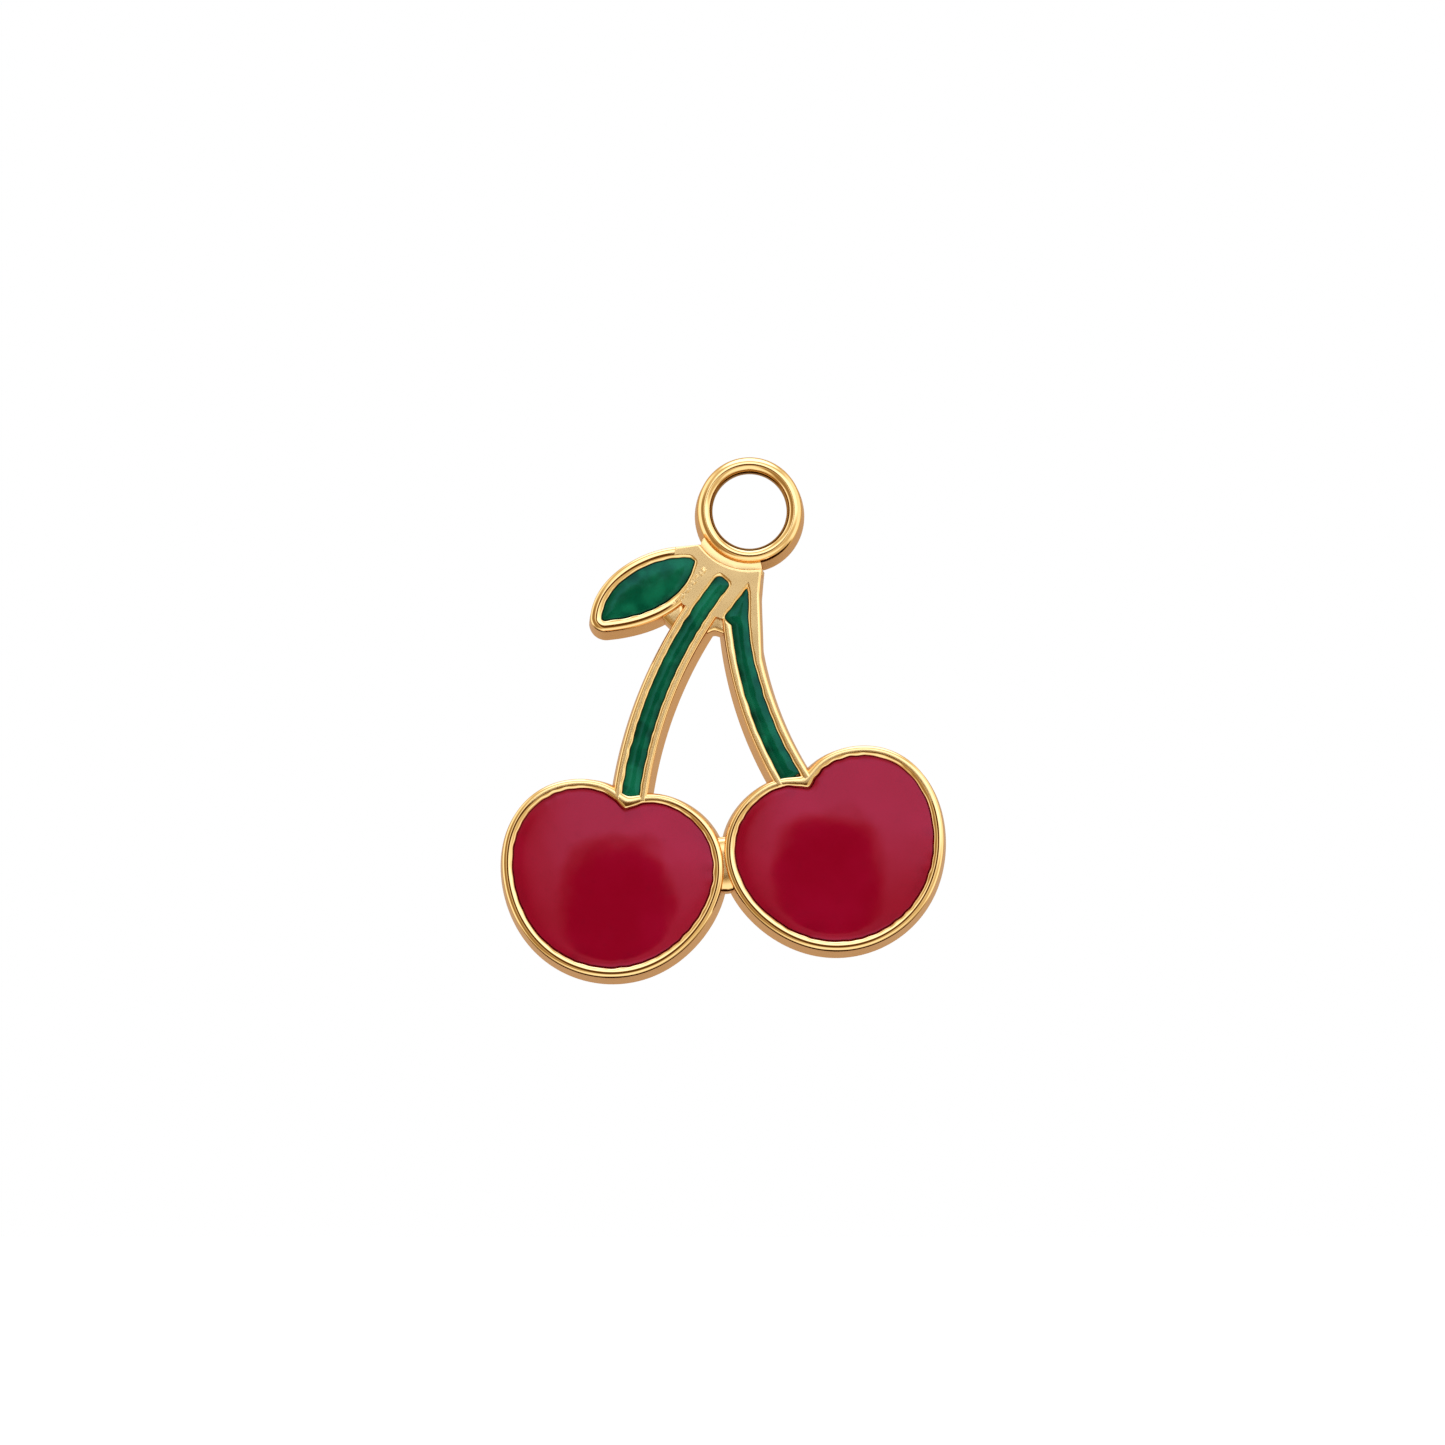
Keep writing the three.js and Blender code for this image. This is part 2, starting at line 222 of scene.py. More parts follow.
def loft(outlines: list[Array], levels: Array) -> Surface:
    """A closed body through outlines stacked from the back to the front.

    Corner (i, j) is point j of outline i at depth y = levels[i]; the first and the last
    outline are closed by flat faces. Outlines run anticlockwise as seen from the front.

    Args:
        outlines: outlines of equal point counts, x and z.
        levels: depth of each outline.

    Returns:
        The closed surface.
    """
    count = len(outlines[0])
    corners = placed(np.vstack(outlines), np.repeat(np.asarray(levels, float), count))
    faces = grid_faces(len(outlines), count, False, True).tolist()
    last = (len(outlines) - 1) * count
    faces.append(list(range(count - 1, -1, -1)))
    faces.append(list(range(last, last + count)))
    return Surface(corners, faces)


class Joining(Enum):
    """How one solid is worked into another."""

    ADD = "UNION"
    CUT = "DIFFERENCE"


def worked(base: Piece, tool: Piece, how: Joining) -> None:
    """Adds a solid to another or cuts it away, and removes the tool.

    Args:
        base: the solid that is changed.
        tool: the solid that is added or cut away.
        how: which of the two.
    """
    step = base.modifiers.new(how.name, "BOOLEAN")
    step.operation, step.object, step.solver = how.value, tool, "MANIFOLD"
    applied(base)
    old = tool.data
    bpy.data.objects.remove(tool)
    bpy.data.meshes.remove(old)


def applied(thing: Piece) -> None:
    """Turns a piece's modifiers into plain mesh."""
    seen = thing.evaluated_get(bpy.context.evaluated_depsgraph_get())
    mesh = bpy.data.meshes.new_from_object(seen)
    old, name = thing.data, thing.data.name
    thing.modifiers.clear()
    thing.data = mesh
    bpy.data.meshes.remove(old)
    mesh.name = name


# ---- rim sections


@dataclass(frozen=True)
class Rim:
    """The section of a rim: a drafted wall, a round shoulder and a crowned or flat top.

    Growth is measured outwards from the edge of the cell inside the rim.
    """

    foot: float  # growth of the outline at the flat back
    crest: float  # depth of the highest line
    crest_at: float  # growth of that line
    crown: float  # radius of the top from side to side
    shoulder: float  # radius between the top and the wall
    inner: float  # width of the slope from the top down to the enamel
    slope: float = 40.0  # lean of that slope from the front, degrees
    draft: float = 5.2  # lean of the wall, degrees
    inner_end: float = 0.03  # growth at which the top stops, inside the cell's flare
    arc_points: int = 9

    def section(self) -> tuple[Array, Array]:
        """Growth and depth of the outside, from the back round to the inside of the top.

        The shoulder's arc touches the crown's arc where the crown has leaned far enough
        for the wall under it to land on the foot.
        """
        steep = math.radians(90.0 - self.draft)
        leans = np.linspace(0.0, 1.2, 600)
        reach, middle = self.crown - self.shoulder, self.crest + self.crown
        end = self.crest_at + reach * np.sin(leans) + self.shoulder * math.sin(steep)
        low = middle - reach * np.cos(leans) - self.shoulder * math.cos(steep)
        feet = end + (BACK - low) * math.tan(math.radians(self.draft))
        lean = float(np.interp(self.foot, feet, leans))
        turn = np.linspace(steep, lean, self.arc_points)
        inside = -math.asin(min(1.0, (self.crest_at - self.inner_end) / self.crown))
        top = np.linspace(lean, inside, self.arc_points)[1:]
        round_grow = self.crest_at + reach * math.sin(lean) + self.shoulder * np.sin(turn)
        round_deep = middle - reach * math.cos(lean) - self.shoulder * np.cos(turn)
        wall = np.linspace(0.0, 1.0, 6)[:-1]
        wall_grow = self.foot + (round_grow[0] - self.foot) * wall
        wall_deep = BACK + (round_deep[0] - BACK) * wall
        wall_grow[:2] = self.foot - EASE, self.foot
        wall_deep[1] = BACK - EASE
        return (
            np.concatenate([wall_grow, round_grow, self.crest_at + self.crown * np.sin(top)]),
            np.concatenate([wall_deep, round_deep, middle - self.crown * np.cos(top)]),
        )

    def cutter(self) -> tuple[Array, Array]:
        """Growth and depth of the cell's cutter, from its floor to clear of the front.

        A straight wall, a slope that leans more and more towards the front as it rises,
        then a nearly flat run that leaves the top of the rim untouched.
        """
        steeper, flatter, below = 14.0, 18.0, 0.012  # the slope's ends, and its top's depth
        run, fall = 0.18, 0.3  # the width and the slope of the flat run
        count = self.arc_points
        lean = np.radians(np.linspace(self.slope + steeper, self.slope - flatter, count))
        steps = np.full(count - 1, self.inner / (count - 1))
        grow = np.concatenate([[0.0], np.cumsum(steps)])
        rise = np.concatenate([[0.0], np.cumsum(steps * np.tan(lean[:-1]))])
        deep = self.crest + below + rise[-1] - rise
        wall = [CELL_FLOOR, CELL_FLOOR - OVERLAP]
        return (
            np.concatenate([[-OVERLAP, 0.0], grow, grow[-1:] + run, grow[-1:] + run]),
            np.concatenate([wall, deep, deep[-1:] - fall * run, [ABOVE]]),
        )


CUP_RIM = Rim(foot=0.68, crest=FRONT, crest_at=0.26, crown=0.5, shoulder=0.2, inner=0.14)
LEAF_RIM = Rim(
    foot=0.655, crest=FRONT, crest_at=0.26, crown=0.5, shoulder=0.19, inner=0.12, draft=3.5
)
TROUGH_RIM = Rim(foot=0.58, crest=LAND, crest_at=0.22, crown=2.4, shoulder=0.15, inner=0.1)


# ---- outlines


@dataclass(frozen=True)
class Cherry:
    """A cherry's outline: a circle, three cosine waves that flatten it, and a dimple."""

    x: float
    z: float
    turn: float  # where the dimple faces, degrees from +X
    radius: float = 4.273
    waves: tuple = ((2, 0.296), (3, 0.209), (4, 0.06))
    dimple: float = 0.667
    dimple_half: float = 0.219
    dimple_sharpness: float = 1.68
    dimple_fade: float = 0.45
    count: int = 400

    def reach(self, angle: Array, grow: float) -> Array:
        """Radius at angles from the dimple, for the outline grown out from the cell.

        radius + growth, less the cosine waves, less a notch exp(-(angle / half)^sharpness).
        """
        waves = sum(height * np.cos(count * angle) for count, height in self.waves)
        notch = np.exp(-((np.abs(angle) / self.dimple_half) ** self.dimple_sharpness))
        return self.radius + grow - waves - (self.dimple - self.dimple_fade * grow) * notch

    def outline(self, grow: float) -> Array:
        """(count, 2) points of the grown outline, crowded a little towards the dimple."""
        t = np.linspace(-1.0, 1.0, self.count, endpoint=False)
        angle = np.pi * (0.55 * t + 0.45 * t**3)
        way = angle + math.radians(self.turn)
        return np.array([self.x, self.z]) + self.reach(angle, grow)[:, None] * rays(way)


LEFT_CHERRY = Cherry(-6.32, -16.75, 77.8)
RIGHT_CHERRY_TURN = 115.5
TOUCH_ANGLE = 6.7  # from the left cherry's centre to the right one's, degrees
TOUCH_OVERLAP = 0.28


def touching_cherry() -> Cherry:
    """The right cherry, placed so that its casting runs into the left one's by the overlap."""
    away = math.radians(TOUCH_ANGLE)
    turns = np.array([TOUCH_ANGLE - LEFT_CHERRY.turn, TOUCH_ANGLE + 180.0 - RIGHT_CHERRY_TURN])
    angles = np.radians((turns + 180.0) % 360.0 - 180.0)
    apart = float(LEFT_CHERRY.reach(angles, CUP_RIM.foot).sum()) - TOUCH_OVERLAP
    x, z = LEFT_CHERRY.x + apart * math.cos(away), LEFT_CHERRY.z + apart * math.sin(away)
    return Cherry(x, z, RIGHT_CHERRY_TURN)


RIGHT_CHERRY = touching_cherry()


@dataclass(frozen=True)
class Stalk:
    """A band along an arc from its head to its cherry's rim, bulging to the left."""

    cherry: Cherry
    head: tuple
    radius: float
    foot_turn: float  # degrees round the cherry from its dimple
    halves: tuple  # half widths of the cell at the head and the foot
    sink: float = 0.5  # the band runs on under the cherry's rim
    foot_grow: float = 0.54  # how far outside the cherry's cell the arc ends

    def arc(self) -> tuple[Array, float, float]:
        """The arc's centre, its starting angle and its length."""
        turn = math.radians(self.foot_turn)
        reach = float(self.cherry.reach(np.array(turn), self.foot_grow))
        way = turn + math.radians(self.cherry.turn)
        middle = np.array([self.cherry.x, self.cherry.z])
        head, foot = np.array(self.head), middle + reach * np.array([math.cos(way), math.sin(way)])
        chord = foot - head
        span = float(np.linalg.norm(chord))
        height = math.sqrt(self.radius**2 - span**2 / 4.0)
        centre = (head + foot) / 2.0 + np.array([-chord[1], chord[0]]) / span * height
        start = math.atan2(head[1] - centre[1], head[0] - centre[0])
        return centre, start, 2.0 * math.asin(span / 2.0 / self.radius) * self.radius

    def point(self, along: Array, out: Array) -> Array:
        """(n, 2) points so far along the arc, and so far to the left of it."""
        centre, start, _ = self.arc()
        angle = start + along / self.radius
        return centre + (self.radius + out)[:, None] * rays(angle)

    def edge(self, side: int, grow: float, start: float, end: float, count: int) -> Array:
        """One edge of the band from head to foot: side 1 is the left, -1 the right."""
        along = np.linspace(start, end, count)
        share = along / self.arc()[2]
        half = self.halves[0] + (self.halves[1] - self.halves[0]) * share + grow
        return self.point(along, side * half)

    def band(self, grow: float) -> Array:
        """The outline of the band, head to foot down its left edge and back up its right."""
        end = self.arc()[2] + self.sink
        sides = [self.edge(side, grow, 0.0, end, 120) for side in (1, -1)]
        return np.vstack([sides[0], sides[1][::-1]])


LEFT_STALK = Stalk(LEFT_CHERRY, (-1.14, -3.17), 20.05, -1.5, (0.35, 0.39))
RIGHT_STALK = Stalk(RIGHT_CHERRY, (-0.52, -4.49), 17.07, 7.6, (0.36, 0.42))
CELL_ROUND = 0.035  # how softly the corners of the stalks' cells are rounded
HEAD_POWER, HEAD_DEPTH = 0.55, 0.26  # the squarish round head of the left stalk's cell
WEDGE_SIDE = ((-0.05, -3.8), (-0.06, -4.4), (-0.07, -4.9), (-0.04, -5.4))
WEDGE_RUN = (-0.34, 1.46)  # the ends of the wedge's long side, along the left stalk
WEDGE_CLEARANCE = 0.13  # between the wedge and the left stalk's rim
BAND_FROM = (0.75, 1.6)  # where the right stalk's band takes over, left and right


def left_cell(grow: float) -> Array:
    """The left stalk's cell: a band whose head is a squarish round, |cos|^p and |sin|^p."""
    half = LEFT_STALK.halves[0] + grow
    turn = np.linspace(0.0, np.pi, 25)
    out = -half * np.sign(np.cos(turn)) * np.abs(np.cos(turn)) ** HEAD_POWER
    along = HEAD_DEPTH - (HEAD_DEPTH + grow) * np.abs(np.sin(turn)) ** HEAD_POWER
    end = LEFT_STALK.arc()[2] + LEFT_STALK.sink
    sides = [LEFT_STALK.edge(side, grow, HEAD_DEPTH, end, 160) for side in (1, -1)]
    head = LEFT_STALK.point(along, out)[1:-1]
    return rounded(np.vstack([sides[0], sides[1][::-1], head]), CELL_ROUND)


def right_sides(grow: float, end: float) -> tuple[Array, Array]:
    """Both sides of the right stalk's cell from its tip down: a wedge, then a band.

    The wedge's long side follows the left stalk at a fixed clearance from its rim.
    """
    beside = -(LEFT_STALK.halves[0] + TROUGH_RIM.foot + WEDGE_CLEARANCE - grow)
    slant = np.linspace(WEDGE_RUN[0] - 2.0 * grow, WEDGE_RUN[1] + grow, 24)
    wedge = LEFT_STALK.point(slant, np.full(24, beside))
    left = RIGHT_STALK.edge(1, grow, BAND_FROM[0] - 0.3 * grow, end, 150)
    right = RIGHT_STALK.edge(-1, grow, BAND_FROM[1], end, 150)
    return np.vstack([wedge, left]), np.vstack([np.array(WEDGE_SIDE) + [grow, 0.0], right])


def right_cell(grow: float) -> Array:
    """The closed outline of the right stalk's cell."""
    left, right = right_sides(grow, RIGHT_STALK.arc()[2] + RIGHT_STALK.sink)
    return rounded(np.vstack([left, right[::-1]]), CELL_ROUND)


LEAF_UPPER = ((-6.74, -5.0), (-6.66, -3.3), (-4.35, -2.06), (-2.72, -2.2))
LEAF_LOWER = ((-2.52, -2.36), (-2.9, -4.28), (-5.04, -4.94), (-6.64, -5.07))


def leaf_outline(grow: float) -> Array:
    """The leaf grown along its own normals, which turn evenly round each tip."""
    sides = [bezier(corners, 90) for corners in (LEAF_UPPER, LEAF_LOWER)]
    headings = [np.unwrap(np.arctan2(way[:, 0], -way[:, 1])) for _, way in sides]
    parts = []
    for this, other in ((0, 1), (1, 0)):
        points, heading = sides[this][0], headings[this]
        turn = -((heading[-1] - headings[other][0]) % (2.0 * np.pi))
        share = np.linspace(0.0, 1.0, 26)[1:-1]
        cap = points[-1] + share[:, None] * (sides[other][0][0] - points[-1])
        at = np.vstack([points, cap])
        way = np.concatenate([heading, heading[-1] + share * turn])
        parts.append(at + grow * rays(way))
    return rounded(np.vstack(parts)[::-1], sigma=0.03, count=400)


@dataclass(frozen=True)
class Head:
    """The head plate that joins leaf, stalks and eye; its upper edge follows the eye."""

    edge_radius: float = 2.63
    edge_from: float = 215.0
    corner: float = 0.07  # the upper edge ends so far beyond the top of the right side
    right: tuple = (
        (0.62, -3.3), (0.57, -3.9), (0.59, -4.6), (0.62, -5.4),
        (0.64, -6.1), (0.67, -6.7), (0.69, -7.1), (0.3, -7.6),
    )
    left: tuple = ((-0.6, -5.2), (-2.6, -4.6), (-3.1, -4.3), (-3.5, -2.6))
    top_left: tuple = (-3.4, -1.57)

    def outline(self, grow: float) -> Array:
        """The plate's outline; only its top edges and its right side move with growth."""
        radius = self.edge_radius - grow
        corner_x = self.right[0][0] + self.corner + grow
        to = 270.0 + math.degrees(math.asin(corner_x / radius))
        turn = np.radians(np.linspace(self.edge_from, to, 40))
        edge = radius * rays(turn)
        top_left = np.array([self.top_left]) + [0.0, grow]
        right = np.array(self.right) + [grow, 0.0]
        return rounded(np.vstack([self.left, top_left, edge, right])[::-1], sigma=0.045)


# ---- finishes


class Nodes:
    """The node tree of a material or a world, with short ways to add and link its nodes."""

    def __init__(self, owner: bpy.types.Material | bpy.types.World) -> None:
        """Empties the owner's node tree."""
        owner.use_nodes = True
        self.owner = owner
        self.tree = owner.node_tree
        self.tree.nodes.clear()

    def add(self, kind: str, **values: object) -> bpy.types.Node:
        """Adds a shader node of that kind and sets its properties."""
        node = self.tree.nodes.new("ShaderNode" + kind)
        for key, value in values.items():
            setattr(node, key, value)
        return node

    def link(self, source: Socket, target: Socket) -> None:
        """Links two sockets."""
        self.tree.links.new(source, target)

    def feed(self, value: Value, socket: Socket) -> None:
        """Links a socket, or sets a number or colour, on an input."""
        if isinstance(value, Socket):
            self.link(value, socket)
        else:
            socket.default_value = value

    def math(self, how: str, a: Value, b: Value = 0.0) -> Socket:
        """A Math node of two inputs."""
        node = self.add("Math", operation=how)
        self.feed(a, node.inputs[0])
        self.feed(b, node.inputs[1])
        return node.outputs[0]

    def gap(self, a: Value, b: Value) -> Socket:
        """How far apart two numbers are."""
        return self.math("ABSOLUTE", self.math("SUBTRACT", a, b))

    def product(self, first: Value, *others: Value) -> Socket:
        """All the inputs multiplied together."""
        for other in others:
            first = self.math("MULTIPLY", first, other)
        return first

    def vector(self, how: str, a: Socket, b: tuple = (0.0, 0.0, 0.0)) -> Socket:
        """A Vector Math node of a vector and a constant one."""
        node = self.add("VectorMath", operation=how)
        self.link(a, node.inputs[0])
        node.inputs[1].default_value = b
        return node.outputs["Value" if how in ("LENGTH", "DOT_PRODUCT") else "Vector"]

    def parts(self, vector: Socket) -> tuple[Socket, Socket, Socket]:
        """The three parts of a vector."""
        node = self.add("SeparateXYZ")
        self.link(vector, node.inputs[0])
        return tuple(node.outputs)

    def ramp(
        self, value: Value, start: float, end: float, low: float = 0.0, high: float = 1.0
    ) -> Socket:
        """A smooth step from low to high, as a value goes from start to end."""
        node = self.add("MapRange", interpolation_type="SMOOTHSTEP")
        for socket, number in zip(node.inputs[:5], (value, start, end, low, high)):
            self.feed(number, socket)
        return node.outputs[0]

    def across(self, length: Socket, start: float, end: float, high: float = 1.0) -> Socket:
        """A smooth step up from 0, as a length goes from start to end, in millimetres."""
        return self.ramp(length, start * MM, end * MM, 0.0, high)

    def noise(self, place: Socket, size: float, detail: float) -> Socket:
        """Noise whose features are about so many millimetres across."""
        node = self.add("TexNoise")
        self.link(place, node.inputs["Vector"])
        node.inputs["Scale"].default_value = 1.0 / (size * MM)
        node.inputs["Detail"].default_value = detail
        return node.outputs["Fac"]

    def mix(self, share: Value, a: Value, b: Value) -> Socket:
        """A mix of two colours."""
        node = self.add("Mix", data_type="RGBA")
        self.feed(share, node.inputs["Factor"])
        self.feed(a, node.inputs[6])
        self.feed(b, node.inputs[7])
        return node.outputs[2]

    def bump(self, height: Socket, depth: float, under: Socket | None = None) -> Socket:
        """A bump so many millimetres deep, over another bump if there is one."""
        node = self.add("Bump")
        node.inputs["Strength"].default_value = 1.0
        node.inputs["Distance"].default_value = depth * MM
        self.link(height, node.inputs["Height"])
        if under is not None:
            self.link(under, node.inputs["Normal"])
        return node.outputs["Normal"]

    def principled(self, values: dict[str, Value]) -> bpy.types.Material:
        """Ends a material in a Principled shader, its inputs linked or set by name."""
        shader = self.add("BsdfPrincipled")
        for name, value in values.items():
            self.feed(value, shader.inputs[name])
        out = self.add("OutputMaterial")
        self.link(shader.outputs[0], out.inputs["Surface"])
        return self.owner


@dataclass(frozen=True)
class GoldPlate:
    """Polished gold plate: mirror-bright rims, satin flat tops, striated side walls."""

    name: str = "gold plate"
    bright: tuple = (0.95, 0.63, 0.25, 1.0)
    deep: tuple = (0.9, 0.54, 0.19, 1.0)
    wall: tuple = (0.86, 0.58, 0.35, 1.0)
    inside: tuple = (0.25, 0.11, 0.03, 1.0)  # painted shade: the eye's inner wall is painted dark brown as a shadow in the bore
    grazing: tuple = (0.95, 0.74, 0.52, 1.0)
    polished: float = 0.045  # roughness of the rims, then of the other places
    satin: float = 0.25
    eye_rough: float = 0.11
    wall_rough: float = 0.2
    rough_drift: float = 0.04
    grain_depth: float = 0.0002  # depths of the relief, in millimetres
    streak_depth: float = 0.006
    swell_depth: float = 0.009  # unevenness left by hand polishing
    swell_size: float = 1.3
    seam_height: float = 0.03
    hole: float = 1.84  # radius within which the eye's inner wall lies
    eye: float = 2.72  # radius within which the eye lies

    def material(self) -> bpy.types.Material:
        """Tone and roughness follow the place on the charm and the surface's direction; the eye's
        inner wall carries painted shade in its tone.
        """
        nodes = Nodes(bpy.data.materials.new(self.name))
        place = nodes.add("TexCoord")
        spot, facing = place.outputs["Object"], nodes.parts(place.outputs["Normal"])[1]
        level = nodes.math("ABSOLUTE", facing)  # 0 on an upright wall, 1 on a flat top
        wall = nodes.ramp(level, 0.28, 0.14)
        land = self.land(nodes, spot, facing)
        cloud = nodes.noise(spot, 1.6, 2.0)
        radius = nodes.vector("LENGTH", nodes.vector("MULTIPLY", spot, (1.0, 0.0, 1.0)))
        # painted shade: inside the hole, where the surface turns away from the front, the tone
        # goes dark as a shadow painted in the bore
        inside = nodes.across(radius, self.hole, self.hole - 0.04)
        painted_bore_shade = nodes.product(inside, nodes.ramp(level, 0.75, 0.55))
        rough = self.polished
        for more in (
            nodes.product(land, self.satin - self.polished),
            nodes.product(wall, self.wall_rough - self.polished),
            nodes.product(nodes.math("SUBTRACT", cloud, 0.5), self.rough_drift),
            nodes.across(radius, self.eye, self.eye - 0.1, self.eye_rough - self.polished),
        ):
            rough = nodes.math("ADD", rough, more)
        # the tone: plain gold, the tan of the walls, and painted shade on the eye's inner wall
        tone = nodes.mix(painted_bore_shade, nodes.mix(wall, self.bright, self.wall), self.inside)
        return nodes.principled({
            "Base Color": nodes.mix(nodes.ramp(cloud, 0.35, 0.7, 0.0, 0.22), tone, self.deep),
            "Metallic": 1.0,
            "Roughness": rough,
            "Normal": self.relief(nodes, spot, land, wall),
            "Specular Tint": self.grazing,
        })

    @staticmethod
    def land(nodes: Nodes, spot: Socket, facing: Socket) -> Socket:
        """Where the metal is satin: the tops of the stalks and the plate, and the low webs.

        A top is found by its depth. The bounds on x and z leave out the leaf and the
        cherries, whose rounded crests pass through the same depth.
        """
        x, depth, z = nodes.parts(spot)
        off = nodes.gap(depth, LAND * MM)
        top = nodes.product(
            nodes.across(off, 0.012, 0.004),
            nodes.across(z, -13.7, -13.2),
            nodes.math("MAXIMUM", nodes.across(x, -3.9, -3.4), nodes.across(z, -5.6, -6.0)),
        )
        low = nodes.across(depth, WEB - 0.1, WEB - 0.06)
        web = nodes.product(low, nodes.ramp(facing, -0.85, -0.95))
        return nodes.math("MAXIMUM", top, web)

    def relief(self, nodes: Nodes, spot: Socket, land: Socket, wall: Socket) -> Socket:
        """Fine grain, streaks down the walls, the polisher's unevenness and the seam."""
        stretch = nodes.add("Mapping", vector_type="POINT")
        nodes.link(spot, stretch.inputs["Vector"])
        stretch.inputs["Scale"].default_value = (0.12, 1.0, 0.12)
        streaks = nodes.noise(stretch.outputs[0], 0.16, 2.0)
        grain = nodes.product(nodes.noise(spot, 0.12, 3.0), nodes.ramp(land, 0.0, 1.0, 0.12, 1.0))
        normal = nodes.bump(grain, self.grain_depth)
        normal = nodes.bump(nodes.product(streaks, wall), self.streak_depth, normal)
        normal = nodes.bump(nodes.noise(spot, self.swell_size, 1.0), self.swell_depth, normal)
        return nodes.bump(self.seam(nodes, spot, land), self.seam_height, normal)

    @staticmethod
    def seam(nodes: Nodes, spot: Socket, land: Socket) -> Socket:
        """A ragged casting seam on the land, in a line between the leaf and the left stalk.

        The height is thresholded noise within a narrow strip; the strip is found from the
        distance across the line and the way along it from its middle.
        """
        start, way, half = (-1.95, -2.6), (-0.636, -0.772), 1.295
        side = (-way[1], way[0])
        line = side[0] * start[0] + side[1] * start[1]
        middle = way[0] * start[0] + way[1] * start[1] + half
        strip = []
        for (x, z), at in ((side, line), (way, middle)):
            strip.append(nodes.gap(nodes.vector("DOT_PRODUCT", spot, (x, 0.0, z)), at * MM))
        torn = nodes.ramp(nodes.noise(spot, 0.17, 2.0), 0.47, 0.56)
        within = nodes.across(strip[0], 0.13, 0.04), nodes.across(strip[1], half, half - 0.3)
        return nodes.product(torn, land, *within)


@dataclass(frozen=True)
class Glaze:
    """Glossy vitreous enamel: cloudy colour, with painted shade darkening it along its wall."""

    name: str
    deep: tuple
    light: tuple
    # rim: the dark tone used as painted shade along the wall, and also for random dark specks
    rim: tuple
    tint: tuple
    shine: float  # specular level
    cloud_size: float
    wall_shade_spread: float  # how far the painted shade at the wall runs into the body in places
    # the width from the wall within which that painted shade spreads
    wall_shade_spread_width: float
    border: float = 0.045  # width of the painted shade line at the wall, in millimetres

    def material(self) -> bpy.types.Material:
        """Clouds of noise mix the tones, and the rim's tone, a painted shade, takes over towards
        the wall.
        """
        nodes = Nodes(bpy.data.materials.new(self.name))
        spot = nodes.add("TexCoord").outputs["Object"]
        edge = nodes.add("Attribute", attribute_name=FROM_WALL).outputs["Fac"]
        cloud, speck = nodes.noise(spot, self.cloud_size, 2.0), nodes.noise(spot, 0.35, 3.0)
        wall_shade_patches = nodes.ramp(nodes.noise(spot, 0.9, 2.0), 0.45, 0.75, 0.0, self.wall_shade_spread)
        colour = nodes.mix(nodes.ramp(cloud, 0.35, 0.7), self.deep, self.light)
        # first random dark specks, then painted shade spread in from the wall, then a painted
        # shade line at the wall
        for share in (
            nodes.ramp(speck, 0.55, 0.8, 0.0, 0.2),
            nodes.product(wall_shade_patches, nodes.ramp(edge, self.wall_shade_spread_width, 0.0)),
            nodes.ramp(edge, self.border, 0.0),
        ):
            colour = nodes.mix(share, colour, self.rim)
        return nodes.principled({
            "Base Color": colour,
            "Roughness": nodes.ramp(speck, 0.3, 0.8, 0.05, 0.1),
            "Normal": nodes.bump(cloud, 0.02),
            "Specular IOR Level": self.shine,
            "Specular Tint": self.tint,
        })


# each glaze's rim tone is the painted shade along its wall
RED_GLAZE = Glaze(
    "red enamel", deep=(0.228, 0.0004, 0.009, 1.0), light=(0.255, 0.0012, 0.013, 1.0),
    rim=(0.16, 0.0, 0.008, 1.0), tint=(1.0, 0.2, 0.28, 1.0),
    shine=0.9, cloud_size=3.0, wall_shade_spread=0.5, wall_shade_spread_width=0.9,
)
GREEN_GLAZE = Glaze(
    "green enamel", deep=(0.0005, 0.052, 0.019, 1.0), light=(0.004, 0.105, 0.04, 1.0),
    rim=(0.0, 0.008, 0.004, 1.0), tint=(0.3, 1.0, 0.8, 1.0),
    shine=0.3, cloud_size=1.2, wall_shade_spread=0.75, wall_shade_spread_width=0.55,
)


# ---- the casting


CROTCH = ((-0.9, -4.4), (-2.4, -5.0), (-2.25, -5.8), (-1.6, -5.5), (-0.95, -5.75))
GUSSET = ((-3.4, -5.5), (-2.9, -5.0), (-3.0, -4.1), (-4.1, -4.8))  # under the leaf


